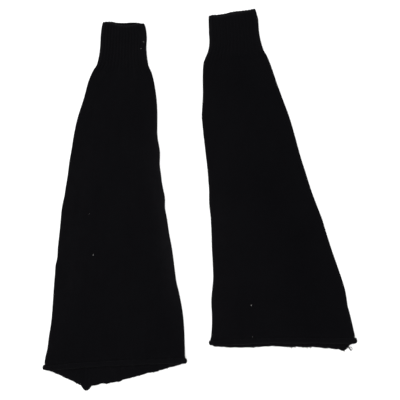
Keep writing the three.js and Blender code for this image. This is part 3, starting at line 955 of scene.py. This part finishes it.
def thread_object(name, paths, radii, sides, material):
    """Closed tapering threads along an array of paths, in one mesh."""
    count, steps = paths.shape[:2]
    side, rise = across_frames(paths)
    turn = 2 * math.pi * np.arange(sides) / sides
    ring = side[:, :, None] * np.cos(turn)[:, None] + rise[:, :, None] * np.sin(turn)[:, None]
    skin = paths[:, :, None] + ring * radii[:, :, None, None]
    points = skin.reshape(count, steps * sides, 3)
    j, k = np.meshgrid(np.arange(steps - 1), np.arange(sides), indexing="ij")
    k2 = (k + 1) % sides
    here, next_on = j * sides, (j + 1) * sides
    quads = np.stack((here + k, here + k2, next_on + k2, next_on + k), axis=-1).reshape(-1, 4)
    caps = [list(reversed(range(sides))), [(steps - 1) * sides + k for k in range(sides)]]
    one = quads.tolist() + caps
    faces = [[v + i * steps * sides for v in face] for i in range(count) for face in one]
    return make_mesh(name, points.reshape(-1, 3), faces, material)


def surface_of(piece):
    """The points, ways out and areas of a piece's faces, in millimetres."""
    mesh = piece.data
    count = len(mesh.polygons)
    centre, normal, area = np.zeros(count * 3), np.zeros(count * 3), np.zeros(count)
    mesh.polygons.foreach_get("center", centre)
    mesh.polygons.foreach_get("normal", normal)
    mesh.polygons.foreach_get("area", area)
    return centre.reshape(-1, 3) / MM, normal.reshape(-1, 3), area


# Fluff: short fibres that stand out of the yarn. The pairs are the least and the most.
FLUFF_FIBRES = 2600
FLUFF_STEPS = 4
FLUFF_FACE_UP, FLUFF_FACE_HIGH = -0.3, 0.5  # faces that look down or lie lower have none
FLUFF_AT_SIDES = 3.5  # an upright face has this many times as much as a level one
FLUFF_SCATTER = 0.6  # of its roots, along the cloth
FLUFF_OUT = 0.35, 1.1  # how straight out of the cloth it stands,
FLUFF_ASIDE = 0.75  # and how far to any side it leans
FLUFF_BENT = 0.1, 0.55
FLUFF_GAMMA, FLUFF_LONG = (3.0, 0.42), (0.5, 3.2)  # the curve that its lengths follow
FLUFF_ROOT = 0.15  # its roots lie this deep in the cloth
FLUFF_RADIUS, FLUFF_TAPER = (0.025, 0.045), 0.75
FLUFF_CLEAR = 0.06  # above the surface that the pair lies on


def fluff_object(garment, cloths, material):
    """Short curved fibres all over what shows of a garment's cloth."""
    centre, normal, area = (np.concatenate(x) for x in zip(*(surface_of(c) for c in cloths)))
    shows = (normal[:, 2] > FLUFF_FACE_UP) & (centre[:, 2] > FLUFF_FACE_HIGH)
    chance = area * shows * lerp(1, FLUFF_AT_SIDES, 1 - np.abs(normal[:, 2]))
    picked = rng.choice(len(centre), FLUFF_FIBRES, p=chance / chance.sum())
    root, out = centre[picked], normal[picked]
    one_each = (len(root), 1)
    root = root + rng.normal(0, FLUFF_SCATTER, root.shape) * (1 - np.abs(out))
    way = out * rng.uniform(*FLUFF_OUT, one_each) + rng.normal(0, FLUFF_ASIDE, root.shape)
    way /= np.linalg.norm(way, axis=-1, keepdims=True)
    bend = np.cross(way, rng.normal(0, 1, root.shape))
    bend *= rng.uniform(*FLUFF_BENT, one_each)
    long = rng.gamma(*FLUFF_GAMMA, one_each).clip(*FLUFF_LONG)
    steps = np.linspace(0, 1, FLUFF_STEPS)
    run = steps[None, :, None]
    curve = way[:, None] * run + bend[:, None] * run**2
    path = root[:, None] - out[:, None] * FLUFF_ROOT + long[:, None] * curve
    path[..., 2] = np.maximum(path[..., 2], FLUFF_CLEAR)
    radii = rng.uniform(*FLUFF_RADIUS, one_each) * (1 - FLUFF_TAPER * steps)
    return thread_object(f"{garment['name']}_fluff", path, radii, sides=3, material=material)


# The loose ends of yarn. The twist's length and how far apart its plies lie are in radii of a ply,
# and both changes towards the tip start from a share of the way along.
END_STEPS = 90
END_FALLS = 4  # how fast an end comes down from the hem
PLY_TWIST = 11
PLY_APART, PLY_FRAYED, FRAYED_FROM = 0.8, 2.2, 0.86
TIP_THINNER, THINNER_FROM = 0.6, 0.88


def twisted_ends(name, rows, material):
    """Loose ends of two-ply yarn, each bowed a little and untwisting at its tip."""
    paths, radii = [], []
    steps = np.linspace(0, 1, END_STEPS)
    for x0, y0, z0, x1, y1, z1, bow, ply in rows_of(rows, "x0 y0 z0 x1 y1 z1 bow ply"):
        start, end = np.array([x0, y0, z0]), np.array([x1, y1, z1])
        way = end - start
        side = np.array([-way[1], way[0], 0]) / math.hypot(way[0], way[1])
        middle = start + way * steps[:, None] + side * (bow * np.sin(steps * math.pi))[:, None]
        middle[:, 2] = z1 + (z0 - z1) * np.exp(-END_FALLS * steps)
        turns = 2 * math.pi * steps * np.linalg.norm(way) / (ply * PLY_TWIST)
        apart = ply * (PLY_APART + PLY_FRAYED * smooth_step(steps, FRAYED_FROM, 1))
        for phase in (0, math.pi):
            path = middle + side * (np.cos(turns + phase) * apart)[:, None]
            path[:, 2] = np.maximum(path[:, 2] + np.sin(turns + phase) * ply * PLY_APART, ply)
            paths.append(path)
            radii.append(ply * (1 - TIP_THINNER * smooth_step(steps, THINNER_FROM, 1)))
    return thread_object(name, np.array(paths), np.array(radii), sides=8, material=material)


# The two zigzags of a seam: the side of the cloth (1 is outside), how far the seam stands out of
# the wall there, half the zigzag's width, its length, and how many radii of the thread it lies off.
SEAM_ZIGZAGS = (
    ("outer", 1, -SEAM_GROOVE, 0.6, 3.1, 0.9),
    ("inner", -1, SEAM_RIDGE, 1.5, 2.6, 0.4),
)
ZIGZAG_STEPS = 6
ZIGZAG_STARTS, ZIGZAG_STOPS = 8, 1  # so far from the body's upper edge and its rolled hem


def seam_threads(garment, seam_line, material):
    """The thread that joins the panel's ends: a zigzag outside, and a wider one over the ridge."""
    middle, out = seam_line
    past = np.concatenate(([0], np.linalg.norm(np.diff(middle, axis=0), axis=-1).cumsum()))
    made = []
    for name, face, swell, wide, every, lift in SEAM_ZIGZAGS:
        runs = np.arange(ZIGZAG_STARTS, past[-1] - ZIGZAG_STOPS, every / ZIGZAG_STEPS)
        centre = np.stack([np.interp(runs, past, middle[:, i]) for i in range(3)], axis=-1)
        way = np.stack([np.interp(runs, past, out[:, i]) for i in range(3)], axis=-1)
        swing = np.arcsin(np.sin(2 * math.pi * runs / every)) / (math.pi / 2) * wide
        off = WALL / 2 + swell * bell(swing, SEAM_HALF) + SEAM_THREAD * lift
        path = centre + way * (face * off)[:, None]
        path[:, 0] += swing
        path[:, 2] = np.maximum(path[:, 2], SEAM_THREAD)
        path = in_place(garment, path)[None]
        radii = np.full(path.shape[:2], SEAM_THREAD)
        label = f"{garment['name']}_seam_{name}"
        made.append(thread_object(label, path, radii, sides=5, material=material))
    return made


# The loops of yarn along the back hem. The pairs are the least and the most.
NUB_STEPS = 9
NUB_HALF = 0.6, 0.8
NUB_SUNK, NUB_PAST = 0.7, 0.4  # its ends lie in the roll, and it reaches past its row's out
NUB_HIGH = -0.8, 0.4
NUB_ARCH = 0.3
NUB_RADIUS = 0.45


def hem_nubs(garment, material):
    """Tight loops of yarn that stand a little out of the rolled hem of the back layer."""
    at, out = garment["nubs"]["x"][:, None], garment["nubs"]["out"][:, None]
    turn = np.linspace(0, math.pi, NUB_STEPS)
    wide = rng.uniform(*NUB_HALF, at.shape)
    x = at - wide * np.cos(turn)
    edge = back_hem_at(garment, x) + ROLL_LONG * roll_size(x) + WALL / 2
    below = edge - NUB_SUNK + (out + NUB_PAST) * np.sin(turn)
    high = WALL / 2 + ROLL_THICK + rng.uniform(*NUB_HIGH, at.shape)
    path = in_place(garment, np.stack((x, -below, high + NUB_ARCH * np.sin(turn)), axis=-1))
    radii = np.full(x.shape, NUB_RADIUS)
    return thread_object(f"{garment['name']}_hem_nubs", path, radii, sides=7, material=material)


# The fibres of a speck of lint. The pairs are the least and the most.
LINT_FIBRES = 5
LINT_STEPS = 9
LINT_CURL = -2.5, 2.5
LINT_REACH = 0.7, 1
LINT_OFF, LINT_ARCH, LINT_ARCHES = 0.12, 0.25, (0.3, 1)
LINT_RADIUS, LINT_TAPER = (0.045, 0.09), 0.5


def lint_object(rows, cloths, material):
    """Specks of lint, each a few tangled fibres on the cloth under it."""
    trees = [BVHTree.FromObject(c, bpy.context.evaluated_depsgraph_get()) for c in cloths]
    steps = np.linspace(0, 1, LINT_STEPS)
    paths, radii = [], []
    for x, y, long in rows_of(rows, "x y long"):
        falls = [tree.ray_cast(Vector((x * MM, y * MM, 1)), Vector((0, 0, -1))) for tree in trees]
        top = max(hit.z for hit, *_ in falls if hit is not None) / MM
        for _ in range(LINT_FIBRES):
            way = rng.uniform(0, 2 * math.pi)
            turn = way + rng.uniform(*LINT_CURL) * steps
            step = long / (LINT_STEPS - 1) * rng.uniform(*LINT_REACH)
            run = np.stack((np.cos(turn), np.sin(turn)), axis=-1).cumsum(axis=0) * step
            run -= run.mean(axis=0)
            arch = LINT_ARCH * np.sin(steps * math.pi) * rng.uniform(*LINT_ARCHES)
            lift = top + LINT_OFF + arch
            paths.append(np.column_stack((x + run[:, 0], y + run[:, 1], lift)))
            radii.append(rng.uniform(*LINT_RADIUS) * (1 - LINT_TAPER * steps))
    return thread_object("lint", np.array(paths), np.array(radii), sides=5, material=material)


def dress(garment, plain, rib, yarn):
    """Makes a garment's pieces, hides the solids they replace, hangs them on the root and gives back
    its cloths.
    """
    side = garment["name"]
    cuff = cuff_object(garment, rib)
    body, seam_line = body_object(garment, plain)
    fluff = fluff_object(garment, [cuff, body], yarn)
    smalls = [fluff, hem_nubs(garment, yarn), *seam_threads(garment, seam_line, yarn)]
    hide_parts(f"{side}_cuff")
    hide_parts(f"{side}_body")
    for piece in (cuff, body, *smalls):
        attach(piece, "root")
    return [cuff, body]


# The plain white surface under the pair.
FLOOR_HALF, FLOOR_HIGH = 20000.0, -0.3
FLOOR_SHADES = (0.9, 0.9, 0.9, 1), (0.92, 0.92, 0.92, 1)


def floor_object():
    material, shader = new_material("floor", roughness=0.9, specular=0.1, sheen=0)
    n = Nodes(material)
    grain = n.noise(n.add("ShaderNodeTexCoord").outputs["Object"], scale=30, detail=4)
    n.join(n.mix_colours(grain, *FLOOR_SHADES), shader.inputs["Base Color"])
    signs = (-1, -1), (1, -1), (1, 1), (-1, 1)
    corners = np.array([(x * FLOOR_HALF, y * FLOOR_HALF, FLOOR_HIGH) for x, y in signs])
    floor = make_mesh("floor", corners, [(0, 1, 2, 3)], material, smooth=False)
    return floor


# The camera looks straight down, so far off that the thickness of the cloth hardly shifts anything.
VIEW_WIDE = 740
VIEW_CENTRE = (-0.7, -0.8)
LENS = 100
SENSOR = 36
FARTHEST = 100  # in metres


def add_camera():
    data = bpy.data.cameras.new("camera")
    data.lens = LENS
    data.sensor_width = SENSOR
    data.clip_end = FARTHEST
    camera = bpy.data.objects.new("camera", data)
    away = VIEW_WIDE * LENS / SENSOR
    camera.location = Vector((*VIEW_CENTRE, away)) * MM
    bpy.context.scene.collection.objects.link(camera)
    bpy.context.scene.camera = camera


def add_light(name, place, size, power):
    """A square soft box at place, in metres, turned towards the pair."""
    data = bpy.data.lights.new(name, "AREA")
    data.size = size
    data.energy = power
    light = bpy.data.objects.new(name, data)
    light.location = place
    light.rotation_euler = (-Vector(place)).to_track_quat("-Z", "Y").to_euler()
    bpy.context.scene.collection.objects.link(light)


def add_lights():
    scene = bpy.context.scene
    world = bpy.data.worlds.new("world")
    scene.world = world
    world.use_nodes = True
    world.node_tree.nodes["Background"].inputs["Color"].default_value = (1, 1, 1, 1)
    world.node_tree.nodes["Background"].inputs["Strength"].default_value = 1
    add_light("top", place=(0, 0.3, 4.2), size=2.4, power=88)
    add_light("key", place=(-2.6, 1.9, 2.6), size=1.6, power=58)
    scene.view_settings.view_transform = "Standard"
    scene.view_settings.look = "None"


floor = floor_object()
plain_knit = knit_material("plain_knitting")
rib_knit = knit_material("rib_knitting")
loose_yarn = fibre_material("loose_yarn", YARN_LOOK, (BLACK, PALER_BLACK), LOOSE_YARN)
cloths = []
for garment in (LEFT, RIGHT):
    cloths += dress(garment, plain_knit, rib_knit, loose_yarn)

ends = twisted_ends("right_yarn_ends", YARN_ENDS, loose_yarn)
lint = lint_object(LINT, cloths, fibre_material("lint", LINT_LOOK, LINT_COLOURS, LINT_FIBRE))
for small in (ends, lint):
    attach(small, "root")

add_camera()
add_lights()
